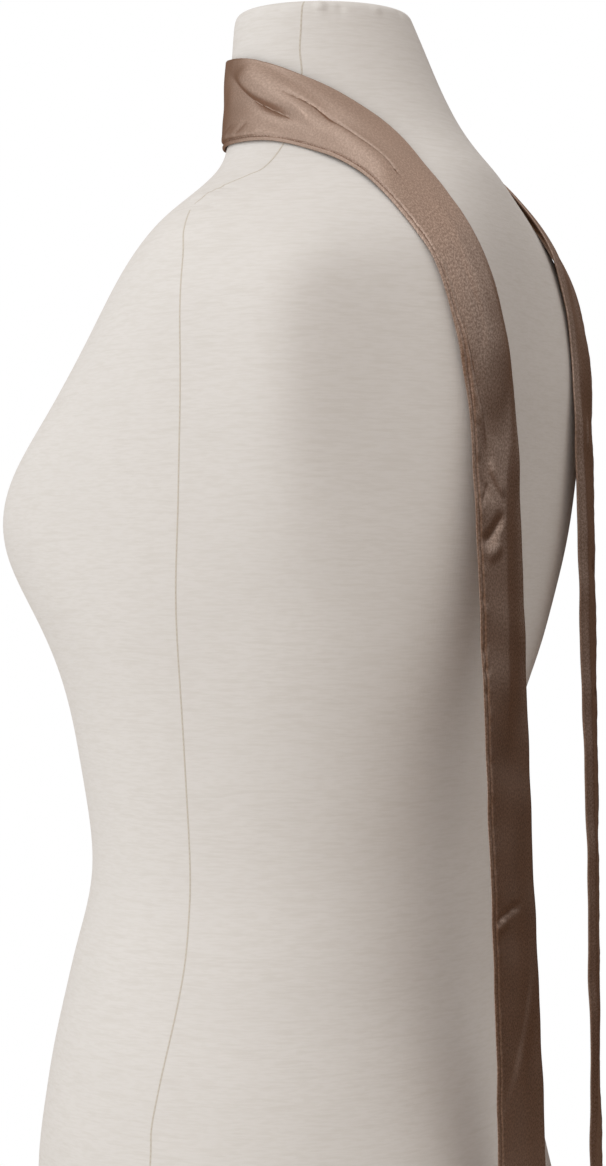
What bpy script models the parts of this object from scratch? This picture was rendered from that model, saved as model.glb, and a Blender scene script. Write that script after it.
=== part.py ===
"""A satin skinny scarf worn on a limbless dress form.

The scarf lies across the throat, passes over both shoulders and hangs down the back in two tails.
Metres, +Z up. The form stands on its flat base with the origin at the base's middle. It faces -Y,
and its left side is +X.
"""

import math
from collections import namedtuple

import bmesh
import bpy
from mathutils import Vector
from mathutils.bvhtree import BVHTree

# Sizes of the form
FORM_SEGMENTS = 64
FORM_RINGS = 50

# A horizontal section of the form. Front and back are depths from the section's middle line, square is
# 2 for an ellipse and more for fuller corners, plate says how far the back is flattened, and corner how
# far the shoulder's back corner is squared, with the flank ahead of it turned a little forward.
Section = namedtuple("Section", "height middle half_width front back square plate corner")
FORM_SECTIONS = (
    Section(0.010, 0.002, 0.160, 0.127, 0.118, 2.2, 0.0, 0.0),
    Section(0.060, 0.002, 0.170, 0.136, 0.120, 2.2, 0.0, 0.0),
    Section(0.101, 0.000, 0.169, 0.136, 0.116, 2.2, 0.0, 0.0),
    Section(0.160, -0.003, 0.158, 0.128, 0.115, 2.2, 0.0, 0.0),
    Section(0.215, -0.005, 0.140, 0.118, 0.110, 2.1, 0.0, 0.0),
    Section(0.270, -0.005, 0.126, 0.107, 0.109, 2.1, 0.0, 0.0),
    Section(0.330, 0.000, 0.132, 0.119, 0.108, 2.2, 0.1, 0.0),
    Section(0.400, 0.002, 0.144, 0.129, 0.120, 2.3, 0.5, 0.0),
    Section(0.460, 0.004, 0.1535, 0.1304, 0.124, 2.4, 0.8, 0.65),
    Section(0.520, 0.006, 0.160, 0.1132, 0.124, 2.5, 1.0, 1.0),
    Section(0.560, 0.008, 0.161, 0.1019, 0.120, 2.4, 1.0, 1.0),
    Section(0.585, 0.010, 0.155, 0.0942, 0.115, 2.3, 0.9, 0.82),
    Section(0.602, 0.012, 0.1427, 0.0864, 0.110, 2.2, 0.8, 0.18),
    Section(0.616, 0.013, 0.127, 0.077, 0.105, 2.2, 0.6, 0.0),
    Section(0.630, 0.014, 0.106, 0.066, 0.099, 2.1, 0.4, 0.0),
    Section(0.645, 0.014, 0.083, 0.054, 0.092, 2.1, 0.2, 0.0),
    Section(0.662, 0.013, 0.066, 0.052, 0.079, 2.0, 0.0, 0.0),
    Section(0.685, 0.012, 0.056, 0.052, 0.067, 2.0, 0.0, 0.0),
    Section(0.710, 0.010, 0.052, 0.049, 0.058, 2.0, 0.0, 0.0),
    Section(0.728, 0.010, 0.050, 0.048, 0.050, 2.0, 0.0, 0.0),
)

# The flattened back is a chamfered box: how the chamfer leans, and how sharp its corners are, with what
# a squared shoulder corner adds to them. The flank's lean fades out over its reach.
PLATE_SIDE = 0.780
PLATE_BACK = 0.490
PLATE_POWER = 16
CORNER_BACK = 0.085
CORNER_POWER = 12
CORNER_LEAN = 0.097
LEAN_REACH = 0.060

# A pair of soft mounds, one on each side. Faces is -1 at the front and 1 at the back.
Mound = namedtuple("Mound", "side height spread up down out faces")
BUST = Mound(0.077, 0.452, 0.066, 0.085, 0.052, 0.037, -1)
BLADES = Mound(0.080, 0.520, 0.050, 0.070, 0.100, 0.006, 1)
SEAT = Mound(0.075, 0.070, 0.070, 0.070, 0.090, 0.014, 1)

# The rounded ends, each ring as a share of the end section and its distance from it
BASE_EDGE = ((0.946, 0.0100), (0.973, 0.0068), (0.992, 0.0034))
NECK_CAP = ((0.972, 0.0034), (0.915, 0.0056), (0.760, 0.0068), (0.420, 0.0074))
NECK_CAP_RISE = 0.0076

# Sizes of the scarf
SCARF_WIDTH = 0.051
CLOTH = 0.0014
CLEAR_OF_FORM = 0.0011
SETTLING_PASSES = 3
SEAM_GAP = 0.0003
ACROSS = 8
STEP = 0.010
FOLD_RIDGES = 2

# Where the scarf's edges lie. The inner edge is the one nearer the neck and the spine, and fold is the
# height of the soft ridges that the cloth makes where it has to turn. The right shoulder's rows are
# written as if on the left, and mirrored.
Station = namedtuple("Station", "inner outer fold")
THROAT_MIDDLE = Station((0.000, -0.041, 0.709), (0.000, -0.042, 0.659), 0.000)
NECK_SIDE = (
    Station((0.023, -0.036, 0.708), (0.028, -0.037, 0.658), 0.001),
    Station((0.050, -0.007, 0.702), (0.062, -0.010, 0.655), 0.003),
    Station((0.056, 0.018, 0.692), (0.074, 0.020, 0.652), 0.004),
)
LEFT_SHOULDER = (
    Station((0.054, 0.046, 0.678), (0.080, 0.039, 0.647), 0.004),
    Station((0.054, 0.070, 0.660), (0.088, 0.061, 0.637), 0.003),
    Station((0.062, 0.088, 0.642), (0.099, 0.080, 0.623), 0.003),
    Station((0.071, 0.105, 0.625), (0.107, 0.096, 0.607), 0.002),
    Station((0.073, 0.119, 0.605), (0.110, 0.111, 0.588), 0.001),
    Station((0.067, 0.128, 0.583), (0.110, 0.119, 0.567), 0.000),
    Station((0.060, 0.134, 0.552), (0.108, 0.125, 0.540), 0.000),
    Station((0.055, 0.137, 0.517), (0.105, 0.129, 0.508), 0.000),
)
RIGHT_SHOULDER = (
    Station((0.052, 0.046, 0.680), (0.080, 0.039, 0.647), 0.004),
    Station((0.048, 0.071, 0.663), (0.088, 0.065, 0.639), 0.004),
    Station((0.048, 0.092, 0.648), (0.096, 0.087, 0.627), 0.004),
    Station((0.051, 0.108, 0.631), (0.103, 0.107, 0.610), 0.004),
    Station((0.055, 0.122, 0.609), (0.107, 0.120, 0.591), 0.003),
    Station((0.060, 0.129, 0.583), (0.108, 0.127, 0.568), 0.001),
    Station((0.060, 0.134, 0.552), (0.107, 0.132, 0.540), 0.000),
    Station((0.055, 0.137, 0.518), (0.105, 0.133, 0.508), 0.000),
)

# How each tail hangs: the middle of its width, and the turn of its face away from straight back
Hang = namedtuple("Hang", "x y z turn")
LEFT_TAIL = (
    Hang(0.0800, 0.1360, 0.465, 9.0),
    Hang(0.0785, 0.1390, 0.380, 8.0),
    Hang(0.0764, 0.1425, 0.275, 7.5),
    Hang(0.0725, 0.1448, 0.190, 9.0),
    Hang(0.0708, 0.1465, 0.110, 11.0),
    Hang(0.0702, 0.1475, 0.040, 12.0),
)
RIGHT_TAIL = (
    Hang(0.0800, 0.1365, 0.465, 5.5),
    Hang(0.0785, 0.1386, 0.380, 6.5),
    Hang(0.0764, 0.1416, 0.275, 8.8),
    Hang(0.0725, 0.1434, 0.190, 9.4),
    Hang(0.0708, 0.1452, 0.110, 9.2),
    Hang(0.0702, 0.1462, 0.046, 9.0),
)

# Finishes
LINEN_COLOUR = (0.66, 0.61, 0.53, 1.0)
LINEN_ROUGHNESS = 0.85
SATIN_COLOUR = (0.21, 0.13, 0.10, 1.0)
SATIN_ROUGHNESS = 0.38


# Plain helpers
def clear_scene():
    for obj in list(bpy.data.objects):
        bpy.data.objects.remove(obj)


def make_material(name, colour, roughness):
    material = bpy.data.materials.new(name)
    material.use_nodes = True
    shader = material.node_tree.nodes["Principled BSDF"]
    shader.inputs["Base Color"].default_value = colour
    shader.inputs["Roughness"].default_value = roughness
    shader.inputs["Metallic"].default_value = 0.0
    material.diffuse_color = colour
    return material


def make_object(name, points, faces, material):
    mesh = bpy.data.meshes.new(name)
    bm = bmesh.new()
    verts = [bm.verts.new(point) for point in points]
    for face in faces:
        bm.faces.new([verts[i] for i in face])
    bmesh.ops.triangulate(bm, faces=bm.faces)
    bmesh.ops.recalc_face_normals(bm, faces=bm.faces)
    bm.to_mesh(mesh)
    bm.free()
    mesh.shade_smooth()
    mesh.set_sharp_from_angle(angle=math.radians(50))
    mesh.materials.append(material)
    obj = bpy.data.objects.new(name, mesh)
    bpy.context.scene.collection.objects.link(obj)
    return obj


def bridge(first, second):
    """Quads between two closed rings of point numbers."""
    count = len(first)
    return [(first[i], first[(i + 1) % count], second[(i + 1) % count], second[i]) for i in range(count)]


def smooth_value(knots, values, at):
    """A curve through values at knots that never overshoots them."""
    at = min(max(at, knots[0]), knots[-1])
    span = next(i for i in range(len(knots) - 1) if at <= knots[i + 1])
    steps = [b - a for a, b in zip(knots, knots[1:])]
    slopes = [(b - a) / step for a, b, step in zip(values, values[1:], steps)]

    def tangent(i):
        if i == 0:
            return slopes[0]
        if i == len(knots) - 1:
            return slopes[-1]
        before, after = slopes[i - 1], slopes[i]
        if before * after <= 0:
            return 0.0
        weight_before = 2 * steps[i] + steps[i - 1]
        weight_after = steps[i] + 2 * steps[i - 1]
        return (weight_before + weight_after) / (weight_before / before + weight_after / after)

    t = (at - knots[span]) / steps[span]
    rise = tangent(span) * t * (1 - t) ** 2 + tangent(span + 1) * t * t * (t - 1)
    return values[span] * (1 + 2 * t) * (1 - t) ** 2 + values[span + 1] * t * t * (3 - 2 * t) + steps[span] * rise


def through(points, at):
    """A smooth curve through vectors, at a position counted in points."""
    span = min(max(int(at), 0), len(points) - 2)
    t = at - span
    p1, p2 = points[span], points[span + 1]
    p0 = points[span - 1] if span > 0 else 2 * p1 - p2
    p3 = points[span + 2] if span + 2 < len(points) else 2 * p2 - p1
    return (
        p1
        + (p2 - p0) * (t / 2)
        + (2 * p0 - 5 * p1 + 4 * p2 - p3) * (t * t / 2)
        + (3 * p1 - p0 - 3 * p2 + p3) * (t * t * t / 2)
    )


# The dress form
def side_distances():
    """Distance up the form's side, from section to section."""
    distances = [0.0]
    for low, high in zip(FORM_SECTIONS, FORM_SECTIONS[1:]):
        rise = math.hypot(high.height - low.height, high.half_width - low.half_width)
        distances.append(distances[-1] + rise)
    return distances


def section_at(distance):
    knots = side_distances()
    columns = zip(*FORM_SECTIONS)
    return Section(*(smooth_value(knots, column, distance) for column in columns))


def section_point(section, turn):
    """A point of the form at a turn from the front towards the left side, before its mounds."""
    side = abs(math.sin(turn))
    ahead = abs(math.cos(turn))
    reach = (side**section.square + ahead**section.square) ** (-1 / section.square)
    depth = section.front
    if math.cos(turn) < 0:
        power = PLATE_POWER + CORNER_POWER * section.corner
        chamfer = PLATE_SIDE * side + (PLATE_BACK + CORNER_BACK * section.corner) * ahead
        boxed = (side**power + ahead**power + chamfer**power) ** (-1 / power)
        boxed *= (1 + PLATE_SIDE**power) ** (1 / power)
        reach += section.plate * (boxed - reach)
        depth = section.back
    behind = -depth * math.cos(turn) * reach
    lean = 1 + CORNER_LEAN * section.corner * math.tanh(behind / LEAN_REACH)
    return Vector((section.half_width * math.sin(turn) * reach * lean, section.middle + behind, section.height))


def mound_rise(mound, point, turn):
    """How far a pair of mounds moves a point forward or back."""
    above = point.z - mound.height
    fade = math.exp(-((above / (mound.up if above > 0 else mound.down)) ** 2))
    beside = sum(math.exp(-(((point.x - side) / mound.spread) ** 2)) for side in (mound.side, -mound.side))
    facing = max(-math.cos(turn) * mound.faces, 0.0) ** 0.5
    return mound.faces * mound.out * fade * beside * facing


def form_point(section, turn):
    point = section_point(section, turn)
    point.y += sum(mound_rise(mound, point, turn) for mound in (BUST, BLADES, SEAT))
    return point


def middle_of(ring):
    return sum(ring, Vector()) / len(ring)


def drawn_in(ring, share, rise):
    """A copy of a ring, drawn in towards its middle and moved up."""
    centre = middle_of(ring)
    return [centre + (point - centre) * share + Vector((0, 0, rise)) for point in ring]


def build_form(material):
    """The torso with its neck: one closed body from the flat base to the neck's rounded top."""
    turns = [2 * math.pi * i / FORM_SEGMENTS for i in range(FORM_SEGMENTS)]
    side_length = side_distances()[-1]
    sections = [section_at(side_length * i / FORM_RINGS) for i in range(FORM_RINGS + 1)]
    body = [[form_point(section, turn) for turn in turns] for section in sections]
    rings = [drawn_in(body[0], share, -drop) for share, drop in BASE_EDGE] + body
    rings += [drawn_in(body[-1], share, rise) for share, rise in NECK_CAP]
    points = [point for ring in rings for point in ring]
    numbers = [list(range(i * FORM_SEGMENTS, (i + 1) * FORM_SEGMENTS)) for i in range(len(rings))]
    faces = [numbers[0]]
    for low, high in zip(numbers, numbers[1:]):
        faces += bridge(low, high)
    points.append(middle_of(body[-1]) + Vector((0, 0, NECK_CAP_RISE)))
    last = numbers[-1]
    faces += [(last[i], last[(i + 1) % FORM_SEGMENTS], len(points) - 1) for i in range(FORM_SEGMENTS)]
    return make_object("form_torso", points, faces, material)


# The scarf
def hang_station(hang):
    """The edges of a hanging tail at one height."""
    turn = math.radians(hang.turn)
    half = Vector((math.cos(turn), -math.sin(turn), 0)) * (SCARF_WIDTH / 2)
    middle = Vector((hang.x, hang.y, hang.z))
    return Station(middle - half, middle + half, 0.0)


def mirrored(station):
    return Station(*(Vector((-edge[0], edge[1], edge[2])) for edge in station[:2]), station.fold)


def route():
    """The whole scarf from the right tail's end to the left one's: inner edges, outer edges and folds."""
    left = [*NECK_SIDE, *LEFT_SHOULDER, *(hang_station(hang) for hang in LEFT_TAIL)]
    right = [*NECK_SIDE, *RIGHT_SHOULDER, *(hang_station(hang) for hang in RIGHT_TAIL)]
    stations = [*(mirrored(station) for station in reversed(right)), THROAT_MIDDLE, *left]
    inner = [Vector(station.inner) for station in stations]
    outer = [Vector(station.outer) for station in stations]
    folds = [Vector((station.fold, 0, 0)) for station in stations]
    return inner, outer, folds


def cloth_row(path, at, form_tree):
    """The points across the scarf at one place of its route, held clear of the form."""
    first, last, fold = (through(points, at) for points in path)
    row = []
    for i in range(ACROSS + 1):
        share = i / ACROSS
        point = first.lerp(last, share)
        wave = fold.x * math.sin(FOLD_RIDGES * math.pi * share) ** 2
        place, normal, _, _ = form_tree.find_nearest(point)
        point += normal * wave
        for _ in range(SETTLING_PASSES):
            place, normal, _, _ = form_tree.find_nearest(point)
            rise = (point - place).dot(normal)
            point += normal * max(CLEAR_OF_FORM - rise, 0.0)
        row.append(point)
    return row


def places(path, start, end):
    """Even steps along the route, between two positions counted in stations."""
    inner, outer, _ = path
    samples = [start + (end - start) * i / 200 for i in range(201)]
    middles = [(through(inner, at) + through(outer, at)) / 2 for at in samples]
    run = [0.0]
    for one, two in zip(middles, middles[1:]):
        run.append(run[-1] + (two - one).length)
    count = math.ceil(run[-1] / STEP)
    wanted = [SEAM_GAP / 2 + (run[-1] - SEAM_GAP) * i / count for i in range(count + 1)]
    return [smooth_value(run, samples, distance) for distance in wanted]


def build_stretch(name, path, start, end, form_tree, material):
    """One stretch of the scarf as a closed wall of cloth."""
    inside = [cloth_row(path, at, form_tree) for at in places(path, start, end)]
    long, wide = len(inside), ACROSS + 1

    def outward(i, j):
        along = inside[min(i + 1, long - 1)][j] - inside[max(i - 1, 0)][j]
        over = inside[i][min(j + 1, ACROSS)] - inside[i][max(j - 1, 0)]
        normal = along.cross(over).normalized()
        away = inside[i][j] - Vector((0, 0, inside[i][j].z))
        return normal if normal.dot(away) > 0 else -normal

    outside = [[inside[i][j] + outward(i, j) * CLOTH for j in range(wide)] for i in range(long)]
    points = [point for grid in (inside, outside) for row in grid for point in row]

    def number(layer, i, j):
        return (layer * long + i) * wide + j

    faces = []
    for i in range(long - 1):
        for j in range(wide - 1):
            for layer in (0, 1):
                corners = ((i, j), (i + 1, j), (i + 1, j + 1), (i, j + 1))
                faces.append([number(layer, *corner) for corner in corners])
    rim = [(i, 0) for i in range(long)] + [(long - 1, j) for j in range(1, wide)]
    rim += [(i, wide - 1) for i in range(long - 2, -1, -1)] + [(0, j) for j in range(wide - 2, 0, -1)]
    faces += bridge([number(0, *place) for place in rim], [number(1, *place) for place in rim])
    return make_object(name, points, faces, material)


def build_scarf(form, material):
    """The throat stretch, then a shoulder stretch and a hanging tail on each side."""
    form_tree = BVHTree.FromPolygons(
        [vertex.co for vertex in form.data.vertices],
        [polygon.vertices for polygon in form.data.polygons],
    )
    path = route()
    middle = len(NECK_SIDE) + len(RIGHT_SHOULDER) + len(RIGHT_TAIL)
    throat, shoulder = len(NECK_SIDE), len(NECK_SIDE) + len(LEFT_SHOULDER)
    end = len(path[0]) - 1
    stretches = (
        ("scarf_throat", middle - throat, middle + throat),
        ("scarf_left_shoulder", middle + throat, middle + shoulder),
        ("scarf_left_tail", middle + shoulder, end),
        ("scarf_right_shoulder", middle - shoulder, middle - throat),
        ("scarf_right_tail", 0, middle - shoulder),
    )
    for name, start, stop in stretches:
        build_stretch(name, path, start, stop, form_tree, material)


def main():
    clear_scene()
    linen = make_material("linen", LINEN_COLOUR, LINEN_ROUGHNESS)
    satin = make_material("satin", SATIN_COLOUR, SATIN_ROUGHNESS)
    form = build_form(linen)
    build_scarf(form, satin)


main()
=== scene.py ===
"""The looks of a satin skinny scarf on its limbless dress form.

Everything is in metres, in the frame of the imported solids: +Z is up, the form faces -Y, and its left side
is +X. The torso's linen cover, the cover's seams, the satin tube and its stitched edge are made here, each
by its own operator, and a last operator makes the floor, the light and the camera.
"""

import math
from collections import namedtuple

import bmesh
import bpy
from mathutils import Matrix, Vector
from mathutils.bvhtree import BVHTree


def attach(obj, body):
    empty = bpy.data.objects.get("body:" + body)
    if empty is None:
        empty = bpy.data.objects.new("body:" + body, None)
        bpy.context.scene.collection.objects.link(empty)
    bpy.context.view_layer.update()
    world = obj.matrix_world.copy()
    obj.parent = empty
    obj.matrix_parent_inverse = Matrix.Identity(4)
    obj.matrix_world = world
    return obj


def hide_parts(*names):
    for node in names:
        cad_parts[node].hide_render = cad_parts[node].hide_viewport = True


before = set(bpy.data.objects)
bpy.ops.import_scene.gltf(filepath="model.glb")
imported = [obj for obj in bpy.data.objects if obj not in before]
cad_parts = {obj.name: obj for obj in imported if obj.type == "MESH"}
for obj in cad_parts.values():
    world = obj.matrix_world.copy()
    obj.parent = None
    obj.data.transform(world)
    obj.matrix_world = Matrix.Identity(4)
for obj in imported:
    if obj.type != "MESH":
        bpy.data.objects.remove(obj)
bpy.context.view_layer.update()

bl_info = {
    "name": "Satin Skinny Scarf",
    "version": (1, 0, 0),
    "blender": (4, 5, 0),
    "location": "View3D > Sidebar > Scarf",
    "description": "Makes a satin skinny scarf, draped on a linen dress form",
    "category": "Object",
}

# Where the scarf's edges lie. The inner edge is the one nearer the neck and the spine, and fold is the
# height of the soft ridges that the cloth makes where it has to turn. The right shoulder's rows are
# written as if on the left, and mirrored.
Station = namedtuple("Station", "inner outer fold")
THROAT_MIDDLE = Station((0.0, -0.041, 0.709), (0.0, -0.042, 0.659), 0.0)
NECK_SIDE = [Station(*row) for row in (
    ((0.023, -0.036, 0.708), (0.028, -0.037, 0.658), 0.0006),
    ((0.050, -0.007, 0.702), (0.062, -0.010, 0.655), 0.0014),
    ((0.056, 0.018, 0.692), (0.074, 0.020, 0.652), 0.0016),
)]
LEFT_SHOULDER = [Station(*row) for row in (
    ((0.054, 0.046, 0.678), (0.080, 0.039, 0.647), 0.0014),
    ((0.054, 0.070, 0.660), (0.088, 0.061, 0.637), 0.0012),
    ((0.062, 0.088, 0.642), (0.099, 0.080, 0.623), 0.0010),
    ((0.071, 0.105, 0.625), (0.107, 0.096, 0.607), 0.0007),
    ((0.073, 0.119, 0.605), (0.110, 0.111, 0.588), 0.0004),
    ((0.067, 0.128, 0.583), (0.110, 0.119, 0.567), 0.0),
    ((0.060, 0.134, 0.552), (0.108, 0.125, 0.540), 0.0),
    ((0.055, 0.137, 0.517), (0.105, 0.129, 0.508), 0.0),
)]
RIGHT_SHOULDER = [Station(*row) for row in (
    ((0.052, 0.046, 0.680), (0.080, 0.039, 0.647), 0.0022),
    ((0.048, 0.071, 0.663), (0.088, 0.065, 0.639), 0.0022),
    ((0.048, 0.092, 0.648), (0.096, 0.087, 0.627), 0.0022),
    ((0.051, 0.108, 0.631), (0.103, 0.107, 0.610), 0.0020),
    ((0.055, 0.122, 0.609), (0.107, 0.120, 0.591), 0.0016),
    ((0.060, 0.129, 0.583), (0.108, 0.127, 0.568), 0.001),
    ((0.060, 0.134, 0.552), (0.107, 0.132, 0.540), 0.0),
    ((0.055, 0.137, 0.518), (0.105, 0.133, 0.508), 0.0),
)]

# How each tail hangs: the middle of its width, and the turn of its face away from straight back
Hang = namedtuple("Hang", "x y z turn")
LEFT_TAIL = (
    Hang(0.0800, 0.1360, 0.465, 9),
    Hang(0.0785, 0.1390, 0.380, 8),
    Hang(0.0764, 0.1425, 0.275, 7.5),
    Hang(0.0725, 0.1448, 0.190, 9),
    Hang(0.0708, 0.1465, 0.110, 11),
    Hang(0.0702, 0.1475, 0.040, 12),
)
RIGHT_TAIL = (
    Hang(0.0800, 0.1365, 0.465, 5.5),
    Hang(0.0785, 0.1386, 0.380, 6.5),
    Hang(0.0764, 0.1416, 0.275, 8.8),
    Hang(0.0725, 0.1434, 0.196, 9.6),
    Hang(0.0719, 0.1439, 0.166, 11.6),
    Hang(0.0708, 0.1452, 0.110, 8.8),
    Hang(0.0702, 0.1462, 0.046, 9),
)

# A crease of the satin, in millimetres. Rise is its height, or its depth where negative. Its path is given
# by its distances from the throat's middle along the scarf, and from the inner edge across it. Inner and
# outer are the widths of its slopes towards those two edges. A crease that crosses the scarf is written from
# its outer end, and they are the widths towards the throat and towards the tail. Peak is 0 for a round top
# and 1 for a sharp one.
Crease = namedtuple("Crease", "rise inner outer peak path")
EASE_PATH = ((20, 25), (60, 26), (100, 26), (150, 27), (215, 26))
LEFT_CREASES = [Crease(*row) for row in (
    # Ease round the neck, the broad ridge that runs down from under the jaw, and the trough along its foot
    (2.8, 45, 30, 0, EASE_PATH),
    (4.4, 17, 6.8, 0.1, ((48, 4), (60, 11), (72, 16.4), (83, 20.8), (95, 25), (107, 29.5), (121, 35))),
    (-2.1, 5.4, 10.5, 0.9, ((34, 8), (48, 13), (60, 18.6), (72, 23.8), (83, 27.8), (95, 31.8), (112, 37))),
    # The sharp line above the ridge, the soft hollow that it runs into, and the low ridge under the hollow
    (-1, 1.7, 1.9, 0.2, ((88, 15.6), (95, 17.2), (104, 19.8), (113, 23), (121, 26.4), (129, 29))),
    (-2.2, 2.4, 4.2, 0.2, (
        (110, 22), (122, 26), (133, 29), (143, 30.2), (154, 30), (166, 29.8), (182, 31),
    )),
    (2.4, 4.2, 14, 0.1, (
        (112, 27), (124, 31), (135, 33.4), (145, 34.4), (155, 34.2), (167, 34), (182, 35),
    )),
    # The layer that puffs over the stitched edge at the neck's front, with its small puckers
    (1.5, 8, 2, 0.2, ((22, 46.2), (60, 46), (85, 46.6), (99, 47.4))),
    (-0.7, 2.4, 2.4, 0, ((61, 48), (65, 42), (71, 36))),
    (-0.6, 2, 2.4, 0, ((80, 48), (84, 43), (89, 39))),
    (-0.4, 1.8, 2.2, 0, ((44, 47), (47, 42), (52, 38))),
    # Over the shoulder: a small step beside the stitching, and slack in the cloth
    (1.7, 1.3, 6, 0.2, ((254, 46.3), (280, 45.6), (300, 43.8), (318, 41), (338, 37))),
    (0.7, 9, 7, 0, ((186, 16), (214, 22), (246, 25), (280, 22))),
    (-0.6, 6, 8, 0, ((232, 36), (262, 33), (296, 34))),
    # The tail's soft bend lengthwise
    (1.3, 9, 34, 0.3, ((236, 10), (270, 8), (306, 8.5), (330, 11), (348, 16))),
    (3, 22, 27, 0.8, ((312, 10), (336, 15), (352, 21), (370, 25), (392, 25), (440, 27), (500, 29))),
    (0.8, 17, 20, 0.3, ((500, 27), (560, 24), (620, 26), (700, 22), (786, 25))),
    # Short creases where the tail leaves the back, and puckers of its stitched edge
    (1, 6, 3.6, 0.1, ((341, 36), (349, 32.5), (356, 28), (362, 24))),
    (-0.6, 1.8, 2.2, 0.1, ((351, 45), (357, 40), (363, 35))),
    (-0.5, 2, 2, 0.1, ((366, 46), (359, 41), (353, 36))),
    (-1.3, 8, 2.4, 0.2, ((387, 48), (383, 38), (376, 31), (368, 25))),
    (0.8, 2, 7, 0.1, ((391, 44), (388, 36), (383, 30))),
    (-0.5, 1.6, 2.6, 0, ((414, 50.5), (413, 46))),
    (-0.6, 1.6, 2.6, 0, ((439, 50.5), (439, 45))),
    (-0.6, 1.6, 2.6, 0, ((449, 50.5), (450, 44.5))),
    (-0.5, 1.6, 2.6, 0, ((460, 50.5), (461, 45.5))),
    # The pull across the tail, and the long slack fold under it
    (-0.9, 1.6, 4, 0.2, ((578, 50.5), (575, 41), (571, 30), (569, 17))),
    (0.8, 1.8, 7, 0, ((581, 50), (578, 43), (575, 34))),
    (0.7, 11, 6, 0, ((598, 4), (613, 8.6), (636, 19), (660, 32), (678, 44), (690, 49))),
)]
RIGHT_CREASES = [Crease(*row) for row in (
    # Ease, ridges and hollows like the left side's, and slack across the throat
    (2.4, 24, 24, 0, EASE_PATH),
    (2.2, 3, 10, 0.3, ((66, 13), (92, 16), (112, 21), (134, 28))),
    (-2.4, 6, 8, 0, ((44, 15), (60, 20), (78, 26), (98, 32))),
    (-1.6, 3, 6, 0.1, ((136, 27), (152, 31), (168, 35), (180, 37))),
    (1.5, 7, 1.4, 0.3, ((26, 46.4), (62, 46.1), (90, 46.9))),
    (-0.7, 2, 2.4, 0, ((64, 47), (69, 42), (74, 37))),
    (-0.9, 6, 9, 0, ((-26, 27), (0, 33), (22, 29))),
    (0.8, 8, 6, 0, ((-18, 15), (6, 11), (34, 13))),
    (0.7, 8, 8, 0, ((190, 20), (216, 24), (250, 22))),
    # The tail's lengthwise bend close to its inner edge, and its short creases
    (3.4, 8.6, 42, 0.8, ((226, 14), (250, 10), (300, 8), (420, 8.5), (560, 7.5), (700, 8), (790, 8.5))),
    (0.9, 5, 6, 0.1, ((312, 33), (326, 27), (338, 24))),
    (-1, 1.8, 7, 0.2, ((474, 50), (468, 38), (465, 22))),
    (-0.7, 2, 5, 0.1, ((404, 49), (398, 39), (396, 30))),
    (1, 8, 5, 0, ((606, 12), (636, 23), (668, 38), (684, 46))),
)]

# A pulled fold or a pucker of the linen cover, in millimetres: rise, half width and path
Pull = namedtuple("Pull", "rise width path")
PULLS = [Pull(*row) for row in (
    (-1, 2.4, ((103, -34, 611), (113, -21, 618), (121, -8, 618), (128, 2, 614))),
    (0.9, 4.2, ((99, -30, 621), (104, -20, 624), (111, -8, 623), (117, 0, 621))),
    (-0.9, 2.2, ((94, -22, 628), (102, -10, 629), (108, -1, 628), (112, 7, 626))),
    (-0.4, 1.8, ((145, -22, 581), (150, -13, 578))),
    (-0.4, 2, ((153, -7, 579), (155, 3, 579))),
    (-0.9, 2.6, ((-108, -28, 615), (-117, -14, 618), (-125, -2, 615))),
    (0.7, 4, ((-102, -24, 623), (-110, -10, 624))),
    (-0.6, 2.2, ((-98, -16, 629), (-106, -4, 628))),
    (-0.4, 1.9, ((-150, -14, 584), (-154, -4, 583))),
    (1.7, 4.5, ((45, 26, 734), (47, 27, 727))),
    (-0.8, 3.5, ((41, 36, 733), (42, 37, 726))),
    (0.7, 4.5, ((26, 51, 733), (27, 52, 727))),
    (-0.6, 4, ((8, 57, 733), (8, 58, 728))),
    (-0.6, 3.5, ((49, 4, 733), (50, 4, 728))),
    (0.6, 4, ((42, -15, 733), (43, -15, 728))),
    (0.9, 4.5, ((-30, 48, 734), (-31, 49, 727))),
    (-0.7, 4, ((-46, 22, 733), (-47, 22, 727))),
    (0.6, 4.5, ((-40, -20, 733), (-41, -20, 727))),
    (-0.6, 4, ((4, -37, 733), (4, -38, 727))),
)]

# The cover's seams as seen from the side, in millimetres back and up. The first runs from the neck's top to
# the shoulder's tip, and the second from there down to the base.
TOP_SEAM = (
    (17, 733), (17, 717), (17, 706), (19, 691), (18, 666), (13, 641), (6, 635), (-2, 631), (-10, 627),
    (-18, 619),
)
SIDE_SEAM = (
    (-18, 615), (-15, 603), (-10, 586), (-8, 550), (-8, 514), (-11, 464), (-15, 413), (-16, 362), (-16, 310),
    (-15, 258), (-14, 228), (-15, 209), (-17, 189), (-20, 164), (-22, 145), (-21, 128), (-19, 60), (-18, 14),
)
MILLIMETRE = 0.001


def a_length(name, description, default):
    return bpy.props.FloatProperty(name=name, description=description, unit="LENGTH", default=default)


def a_colour(name, description, default):
    return bpy.props.FloatVectorProperty(
        name=name, description=description, subtype="COLOR", size=3, min=0.0, max=1.0, default=default,
    )


class FormCoverSettings(bpy.types.PropertyGroup):
    colour: a_colour("Linen", "Colour of the undyed linen cover", (0.80, 0.768, 0.728))
    shade: a_colour("Slubs", "Colour of the thicker, duller threads", (0.74, 0.705, 0.655))
    roughness: bpy.props.FloatProperty(
        name="Roughness", description="Roughness of the linen", min=0.0, max=1.0, default=0.88,
    )
    weft_pitch: a_length("Weft pitch", "Height from one weft thread to the next", 0.0011)
    smoothing: bpy.props.IntProperty(
        name="Smoothing", description="Times that the torso's faces are halved", min=0, max=3, default=2,
    )


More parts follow.
